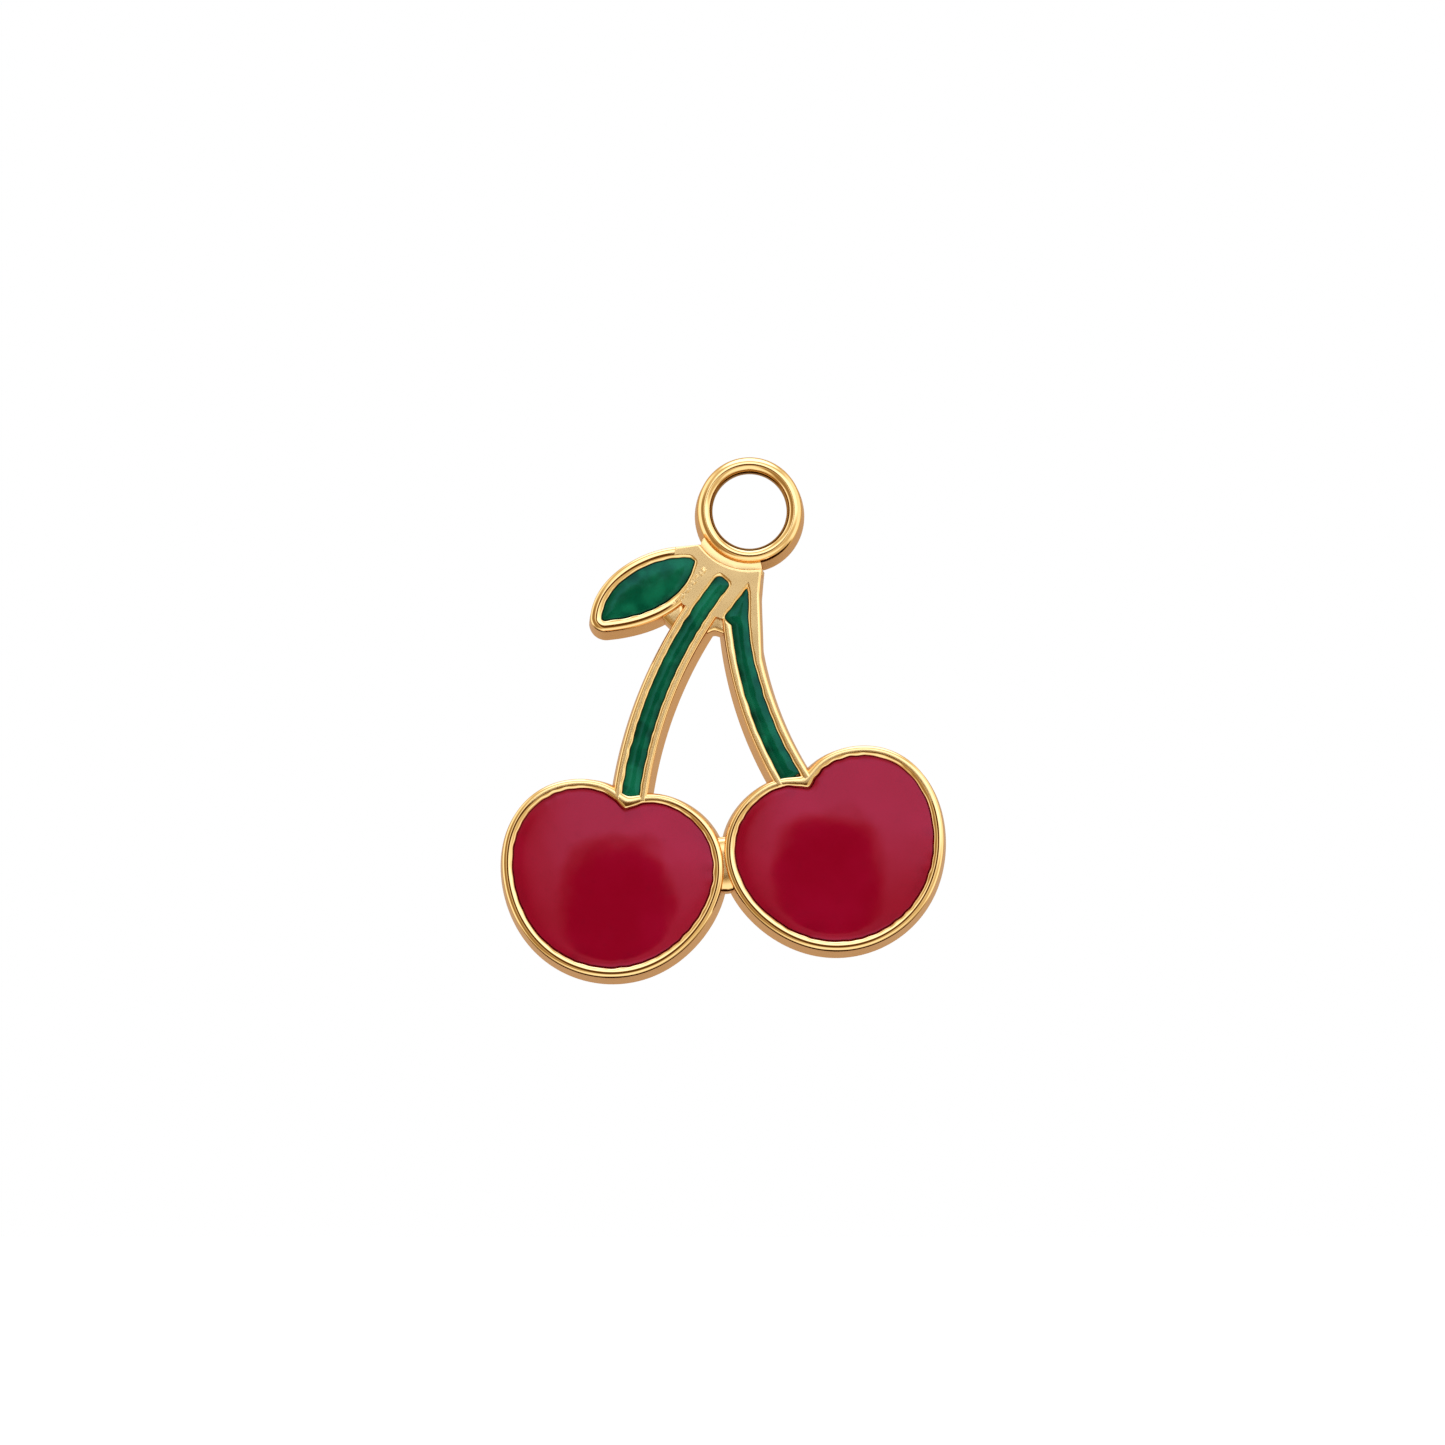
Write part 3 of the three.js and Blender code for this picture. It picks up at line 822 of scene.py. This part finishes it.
@dataclass
class Casting:
    """The one-piece casting: eye, groove, head plate, cups, troughs and low webs."""

    finish: GoldPlate = GoldPlate()
    hole: float = 1.70
    flare: float = 0.35  # how much wider the hole is at the back
    tall: float = 1.03  # the eye is a little taller than wide
    lift: float = 0.04
    ring_foot: float = 2.55
    ring_lean: float = 0.14  # how far the ring's outer wall leans in
    ring_crest: float = FRONT + 0.08
    ring_rise: float = 0.46
    groove_level: float = FRONT + 0.32

    def eye(self) -> Surface:
        """The eye: a section carried round the Y axis, its radii stretched a little in Z.

        The section is a flat back, a leaning outer wall, a half ellipse over the front and
        an inner wall that widens towards the back as the power 3/2 of the depth.
        """
        side = self.ring_crest + self.ring_rise  # where the half ellipse ends
        outer = self.ring_foot - self.ring_lean
        half, middle = (outer - self.hole) / 2.0, (outer + self.hole) / 2.0
        turn = np.linspace(0.0, np.pi, 26)
        front_r = middle + half * np.cos(turn)
        front_y = side - self.ring_rise * np.sin(turn)
        inner_y = np.linspace(side, BACK, 9)[1:]
        inner_r = self.hole + self.flare * ((inner_y - inner_y[0]) / (BACK - inner_y[0])) ** 1.5
        outer_y = np.linspace(BACK, side, 8)[:-1]
        outer_r = self.ring_foot - self.ring_lean * (BACK - outer_y) / (BACK - side)
        outer_r[0] -= EASE
        outer_y[1] = BACK - EASE
        radius = np.concatenate([front_r, inner_r, outer_r])
        depth = np.concatenate([front_y, inner_y, outer_y])
        around = np.linspace(0.0, 2.0 * np.pi, 220, endpoint=False)
        x = radius[None, :] * np.cos(around)[:, None]
        z = radius[None, :] * self.tall * np.sin(around)[:, None] + self.lift
        y = np.broadcast_to(depth[None, :], x.shape)
        corners = np.stack([x, y, z], axis=-1).reshape(-1, 3)
        return Surface(corners, grid_faces(len(around), len(radius), True, True).tolist())

    @staticmethod
    def rimmed(outline: Outline, rim: Rim) -> Surface:
        """A body under a rim: the outline grown by the rim's section at each depth."""
        grows, levels = rim.section()
        return loft([outline(float(grow)) for grow in grows], levels)

    @staticmethod
    def hollow(outline: Outline, rim: Rim) -> Surface:
        """The cutter that empties a cell and rounds the rim's inner edge."""
        grows, levels = rim.cutter()
        return loft([uneven(outline(float(grow))) for grow in grows], levels)

    @staticmethod
    def slab(corners: tuple | list, pillow: float = 0.12) -> Surface:
        """A low web: a rounded polygon from the back up to a pillowed top.

        Over the pillow the outline shrinks as 1 - 0.6 (1 - cos a) while the depth rises as
        sin a. The corners run anticlockwise.
        """
        outline = rounded(np.array(corners, float), sigma=0.08, count=160)
        middle = outline.mean(0)
        turn = np.linspace(0.0, np.pi / 2.0, 9)
        shrunk = [middle + (1.0 - 0.6 * (1.0 - math.cos(a))) * (outline - middle) for a in turn]
        levels = WEB + pillow * (1.0 - np.sin(turn))
        return loft([outline, *shrunk], np.concatenate([[BACK], levels]))

    def plate(self) -> Surface:
        """The head plate: leaning side, round shoulder, flat top with a support line."""
        shoulder, lean = 0.12, 0.12
        turn = np.linspace(math.radians(84.0), 0.0, 8)
        top = -lean - shoulder
        grow = np.concatenate([[-0.03, 0.0], top + shoulder * np.sin(turn), [top - 0.02]])
        round_deep = LAND + shoulder - shoulder * np.cos(turn)
        level = np.concatenate([[BACK, BACK - EASE], round_deep, [LAND]])
        head = Head()
        return loft([head.outline(float(g)) for g in grow], level)

    def groove(self) -> Surface:
        """The floor of the groove between ring and head plate, hollow towards the ring."""
        start, end, easing = 211.0, 282.0, 8.0  # the outer edge eases out over the first degrees
        degrees = np.linspace(start, end, 36)
        way = rays(np.radians(degrees))
        outer = (2.5 + 0.5 * np.clip((degrees - start) / easing, 0.0, 1.0))[:, None] * way
        rings = [np.vstack([outer, inner * way[::-1]]) for inner in (2.1, 2.2, 2.3, 2.38, 2.45)]
        rise = np.array([0.15, 0.07, 0.03, 0.0])
        return loft(rings, np.concatenate([[BACK], self.groove_level + rise]))

    def bridge(self) -> Surface:
        """The web where the cherries touch, standing across the line between centres."""
        left, right = (np.array([cherry.x, cherry.z]) for cherry in (LEFT_CHERRY, RIGHT_CHERRY))
        lean = math.atan2(*(right - left)[::-1])
        across = np.array([math.cos(lean), math.sin(lean)])
        up = np.array([-across[1], across[0]])
        sizes = ((-0.6, -1.2), (0.0, -1.3), (0.6, -1.2), (0.6, 1.18), (0.0, 1.22), (-0.6, 1.18))
        corners = [(left + right) / 2.0 + w * across + h * up for w, h in sizes]
        return self.slab(corners, pillow=0.4)

    def build(self) -> Piece:
        """Works the solids into one watertight casting and dresses it."""
        whole = self.eye().piece("charm_casting")
        cherries = (LEFT_CHERRY.outline, RIGHT_CHERRY.outline)
        bands = [self.rimmed(stalk.band, TROUGH_RIM) for stalk in (LEFT_STALK, RIGHT_STALK)]
        steps = (
            (Joining.ADD, [self.groove(), self.plate(), self.rimmed(leaf_outline, LEAF_RIM)]),
            (Joining.ADD, [*bands, self.slab(CROTCH), self.slab(GUSSET)]),
            (Joining.CUT, [self.hollow(leaf_outline, LEAF_RIM)]),
            (Joining.CUT, [self.hollow(cell, TROUGH_RIM) for cell in (left_cell, right_cell)]),
            (Joining.ADD, [self.bridge(), *(self.rimmed(cup, CUP_RIM) for cup in cherries)]),
            (Joining.CUT, [self.hollow(cup, CUP_RIM) for cup in cherries]),
        )
        for how, surfaces in steps:
            for surface in surfaces:
                worked(whole, surface.piece("step"), how)
        whole.data.shade_smooth()
        whole.data.set_sharp_from_angle(angle=math.radians(34.0))
        weigh = whole.modifiers.new("weighted normals", "WEIGHTED_NORMAL")
        weigh.keep_sharp = True
        weigh.weight = 50
        applied(whole)
        whole.data.materials.clear()
        whole.data.materials.append(self.finish.material())
        settle(whole, "cast_frame", "gold_plate")
        return whole


def settle(thing: Piece, node: str, slot: str) -> None:
    """Makes a piece ride the charm and stand for its CAD node."""
    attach(thing, "root")
    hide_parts(node)
    mesh = thing.data
    mesh.calc_loop_triangles()
    corners, triangles = len(mesh.vertices), len(mesh.loop_triangles)
    LOG.info("%s: %d corners, %d triangles", thing.name, corners, triangles)

# ---- the enamels


@dataclass
class Enamel:
    """One fill of enamel: a closed body under a gently raised, slightly uneven surface."""

    name: str
    node: str
    slot: str
    glaze: Glaze
    seed: int
    crown: float = 0.05  # rise just inside the edge
    crown_width: float = 0.16
    dome: float = 0.0  # further rise to the middle of a cherry
    wander: float = 0.001  # unevenness of the edge, as a share of its reach
    wave: float = 0.0035  # unevenness of the surface
    wavelength: float = 2.2
    calm: float = 0.5  # the unevenness dies out so near the edge

    def level(self, points: Array, outline: Array, centre: Array) -> Array:
        """Depth of the surface: the edge's, less a crown 1 - exp(-d / width) and a dome.

        The dome falls off as the square of the distance from the centre, and a seeded
        ripple keeps the surface from being perfect.
        """
        edge = distance_to(points, outline)
        swell = self.crown * (1.0 - np.exp(-edge / self.crown_width))
        span = np.linalg.norm(outline - centre, axis=1).max()
        bow = self.dome * (1.0 - (np.linalg.norm(points - centre, axis=1) / span) ** 2)
        wave = self.wave * ripple(points, self.wavelength, self.seed)
        return GLAZE_EDGE - swell - bow - wave * np.minimum(1.0, edge / self.calm)

    def dressed(self, corners: Array, faces: list, edge: Array) -> Piece:
        """Makes the piece and dresses it; edge is each corner's distance from the wall."""
        thing = Surface(corners, faces).piece(self.name)
        attribute = thing.data.attributes.new(FROM_WALL, "FLOAT", "POINT")
        attribute.data.foreach_set("value", edge.astype(np.float32))
        thing.data.shade_smooth()
        thing.data.set_sharp_from_angle(angle=math.radians(50.0))
        thing.data.materials.append(self.glaze.material())
        settle(thing, self.node, self.slot)
        return thing

    def star(self, outline: Array, centre: Array, rings: int) -> Piece:
        """A closed body over an outline that can be seen whole from its centre.

        Ring i is the outline shrunk to 1 - (i / rings)^1.7; the outermost wanders a little.

        Args:
            outline: (count, 2) points of the fill's edge, anticlockwise.
            centre: the point that the rings of corners shrink to.
            rings: how many rings.

        Returns:
            The dressed piece.
        """
        count = len(outline)
        size = 1.0 - np.linspace(0.0, 1.0, rings + 1)[:-1] ** 1.7
        spread = size[:, None, None] * (outline - centre)[None, :, :]
        spread[0] *= (1.0 - self.wander * (1.0 + ripple(outline, 0.8, self.seed + 5)))[:, None]
        rows = centre + spread
        flat = np.vstack([rows.reshape(-1, 2), centre[None, :]])
        top = placed(flat, self.level(flat, outline, centre))
        corners = np.vstack([placed(rows[0], CELL_FLOOR - OVERLAP), top])
        faces = grid_faces(rings + 1, count, False, True).tolist()
        last = rings * count + np.arange(count)
        hub = np.full(count, len(corners) - 1)
        faces += np.column_stack([last, np.roll(last, -1), hub]).tolist()
        faces.append(list(range(count - 1, -1, -1)))
        edge = np.concatenate([np.zeros(count), distance_to(flat, outline)])
        return self.dressed(corners, faces, edge)


def inset(outline: Array, depth: float) -> Array:
    """An anticlockwise outline moved inwards along its normals."""
    way = np.roll(outline, -1, axis=0) - np.roll(outline, 1, axis=0)
    way /= np.linalg.norm(way, axis=1, keepdims=True)
    return outline + depth * np.column_stack([-way[:, 1], way[:, 0]])


@dataclass
class StalkEnamel(Enamel):
    """Enamel in a stalk's trough: rows of points from one edge of the cell to the other."""

    def trough(self, left: Array, right: Array, across: int) -> Piece:
        """A closed body between two edges of equal point counts, head to foot.

        Corner (i, j) lies a share s_j of the way from the left edge to the right one, and
        s is crowded towards both edges as (1 - cos) / 2.
        """
        count = len(left)
        share = (1.0 - np.cos(np.linspace(0.0, np.pi, across))) / 2.0
        rows = left[:, None, :] + share[None, :, None] * (right - left)[:, None, :]
        flat = rows.reshape(-1, 2)
        outline = np.vstack([left, right[::-1]])
        top = placed(flat, self.level(flat, outline, flat.mean(0)))
        under = placed(flat, CELL_FLOOR - OVERLAP)
        offset = len(flat)
        sheet = grid_faces(count, across, False, False)
        number = np.arange(offset).reshape(count, across)
        border = number[0, :-1], number[:-1, -1], number[-1, :0:-1], number[:0:-1, 0]
        loop = np.concatenate(border)
        ahead = np.roll(loop, -1)
        sides = np.column_stack([loop, ahead, ahead + offset, loop + offset])
        faces = np.vstack([sheet[:, ::-1], sheet + offset, sides]).tolist()
        edge = np.concatenate([distance_to(flat, outline), np.zeros(offset)])
        return self.dressed(np.vstack([top, under]), faces, edge)


STALK_REACH = 0.12  # how far past the end of its arc a stalk's enamel runs


def left_edges(grow: float, count: int) -> tuple[Array, Array]:
    """The two edges of the left stalk's enamel, from its round head to the cherry's rim."""
    end = LEFT_STALK.arc()[2] + STALK_REACH
    half = LEFT_STALK.halves[0] + grow
    turn = np.linspace(0.0, np.pi / 2.0, 16)
    sides = []
    for side in (1, -1):
        out = side * half * np.sin(turn) ** HEAD_POWER
        along = HEAD_DEPTH - (HEAD_DEPTH + grow) * np.cos(turn) ** HEAD_POWER
        rest = LEFT_STALK.edge(side, grow, HEAD_DEPTH, end, 120)
        sides.append(even(np.vstack([LEFT_STALK.point(along, out), rest[1:]]), count))
    return sides[0], sides[1]


def right_edges(grow: float, count: int) -> tuple[Array, Array]:
    """The two edges of the right stalk's enamel, from the wedge's tip to the rim."""
    left, right = right_sides(grow, RIGHT_STALK.arc()[2] + STALK_REACH)
    return even(left, count), even(np.vstack([left[:1], right]), count)


@dataclass
class Fills:
    """All five fills of enamel."""

    clearance: float = 0.008

    def build(self) -> list[Piece]:
        """Builds the leaf's, the stalks' and the cherries' enamels."""
        green, red = ("green_enamel", GREEN_GLAZE), ("red_enamel", RED_GLAZE)
        leaf = Enamel("leaf_glaze", "leaf_enamel", *green, seed=11, dome=0.06)
        outline = inset(uneven(leaf_outline(0.0)), self.clearance)
        made = [leaf.star(outline, np.array([-4.75, -3.75]), 22)]
        for side, edges, seed in (("left", left_edges, 21), ("right", right_edges, 31)):
            names = (f"{side}_stalk_glaze", f"{side}_stalk_enamel")
            fill = StalkEnamel(*names, *green, seed=seed, crown=0.06)
            left, right = (uneven(edge) for edge in edges(-self.clearance, 240))
            made.append(fill.trough(left, right, 15))
        for side, cherry, seed in (("left", LEFT_CHERRY, 41), ("right", RIGHT_CHERRY, 51)):
            names = (f"{side}_cherry_glaze", f"{side}_cherry_enamel")
            fill = Enamel(*names, *red, seed=seed, dome=0.33, crown=0.06)
            outline = inset(uneven(cherry.outline(0.0)), self.clearance)
            made.append(fill.star(outline, np.array([cherry.x, cherry.z]), 34))
        return made


# ---- the studio


WHITE = (1.0, 1.0, 1.0, 1.0)


@dataclass(frozen=True)
class Zone:
    """A soft-edged patch of the studio's surround, in degrees round and above the front."""

    around: tuple  # from, to; 0 is the camera's side, 90 the right, 180 behind
    height: tuple  # from, to; above the horizon
    soft: float
    tone: float
    rounded: bool = False


@dataclass
class Studio:
    """A pale tent of soft light with a dark opening for the camera, floor and camera."""

    plain: float = 0.7
    warmth: tuple = (0.8, 1.1, 1.6)  # the dim parts of the tent are warmer than the lamps
    zones: tuple = (
        Zone((-200, 200), (60, 114), 8, 2.3),
        Zone((65, 125), (-30, 50), 9, 1.3),
        Zone((-125, -65), (-30, 50), 9, 1.35),
        Zone((-60, 60), (-78, -30), 7, 1.3),
        Zone((-22, 62), (2, 40), 9, 1.75),
        Zone((-68, -14), (-42, 22), 9, 0.3),
        Zone((125, 235), (-30, 25), 9, 0.58),
        Zone((108, 252), (-120, -24), 4, 0.01),
        Zone((-200, 200), (-120, -84), 4, 0.02),
        Zone((-9.3, 8.2), (-16.5, 9.6), 2.4, 0.07, rounded=True),
    )
    eye: tuple = (-0.098, -198.79, -31.6)  # the camera's place
    target: tuple = (-1.243, 0.0, -9.65)
    lens: float = 109.0
    floor_level: float = -62.0

    def surround(self) -> None:
        """The world: one plain tone, with the zones mixed over it in turn.

        The camera itself sees plain white, so that the pale backdrop has no edge.
        """
        world = bpy.data.worlds.new("tent")
        bpy.context.scene.world = world
        nodes = Nodes(world)
        x, y, z = nodes.parts(nodes.add("TexCoord").outputs["Generated"])
        degree = 180.0 / math.pi
        height = nodes.product(nodes.math("ARCSINE", z), degree)
        around = nodes.product(nodes.math("ARCTAN2", x, nodes.product(y, -1.0)), degree)
        tone = self.plain
        for zone in self.zones:
            tone = self.patched(nodes, tone, zone, around, height)
        colour = nodes.add("CombineColor")
        for channel, power in zip(colour.inputs, self.warmth):
            nodes.link(nodes.math("POWER", tone, power), channel)
        both = nodes.add("MixShader")
        nodes.link(nodes.add("LightPath").outputs["Is Camera Ray"], both.inputs[0])
        for light, socket in ((colour.outputs[0], both.inputs[1]), (WHITE, both.inputs[2])):
            background = nodes.add("Background")
            nodes.feed(light, background.inputs["Color"])
            nodes.link(background.outputs[0], socket)
        nodes.link(both.outputs[0], nodes.add("OutputWorld").inputs["Surface"])

    @staticmethod
    def patched(nodes: Nodes, tone: Value, zone: Zone, around: Socket, height: Socket) -> Socket:
        """Mixes a zone into the tone: the product of its soft bounds round and above.

        A rounded zone is bounded by |a|^3 + |h|^3 = 1 instead, a and h being the two
        angles from its middle over its half sizes.
        """
        sides = []
        for angle, (low, high) in ((around, zone.around), (height, zone.height)):
            middle = (low + high) / 2.0
            if middle == 180.0:  # behind, where the angle jumps from 180 to -180
                off = nodes.math("SUBTRACT", 180.0, nodes.math("ABSOLUTE", angle))
            else:
                off = nodes.gap(angle, middle)
            sides.append((off, (high - low) / 2.0))
        if zone.rounded:
            cubes = [nodes.math("POWER", nodes.math("DIVIDE", *side), 3.0) for side in sides]
            blur = zone.soft / sides[0][1]
            inner, outer = 1.0 - 1.5 * blur, 1.0 + 3.0 * blur
            share = nodes.ramp(nodes.math("ADD", *cubes), inner, outer, 1.0, 0.0)
        else:
            soft = zone.soft
            share = nodes.product(*(
                nodes.ramp(off, half - soft, half + soft, 1.0, 0.0) for off, half in sides
            ))
        kept = nodes.product(tone, nodes.math("SUBTRACT", 1.0, share))
        return nodes.math("ADD", kept, nodes.product(share, zone.tone))

    def floor(self) -> None:
        """A wide pale floor, out of the metal's sight so that it only mirrors the tent."""
        half = 4000.0
        corners = [(x, z, self.floor_level) for x, z in ((-1, -1), (1, -1), (1, 1), (-1, 1))]
        spread = np.array(corners) * [half, half, 1.0]
        thing = Surface(spread, [[0, 1, 2, 3]]).piece("floor")
        thing.data.materials.append(Nodes(bpy.data.materials.new("pale floor")).principled({
            "Base Color": (0.9, 0.9, 0.9, 1.0),
            "Roughness": 0.9,
            "Specular IOR Level": 0.0,
            "Emission Color": WHITE,
            "Emission Strength": 0.2,
        }))
        thing.visible_glossy = False

    def camera(self) -> None:
        """The camera, a little below the charm and looking slightly up."""
        eye, target = np.array(self.eye), np.array(self.target)
        look = (target - eye) / np.linalg.norm(target - eye)
        right = np.cross(look, [0.0, 0.0, 1.0])
        right /= np.linalg.norm(right)
        up = np.cross(right, look)
        data = bpy.data.cameras.new("camera")
        data.lens, data.sensor_width = self.lens, 36.0
        data.clip_start, data.clip_end = 0.001, 20.0
        thing = bpy.data.objects.new("camera", data)
        bpy.context.scene.collection.objects.link(thing)
        turn = np.eye(4)
        turn[:3, 0], turn[:3, 1], turn[:3, 2], turn[:3, 3] = right, up, -look, eye * MM
        thing.matrix_world = Matrix(turn.tolist())
        bpy.context.scene.camera = thing

    def build(self) -> None:
        """Sets camera, surround and floor."""
        self.camera()
        self.surround()
        self.floor()
        bpy.context.scene.view_settings.view_transform = "Standard"


def main() -> None:
    """Builds the studio, the casting and the enamels."""
    logging.basicConfig(level=logging.INFO, format="%(message)s", stream=sys.stdout)
    Studio().build()
    Casting().build()
    Fills().build()


if __name__ == "__main__":
    main()
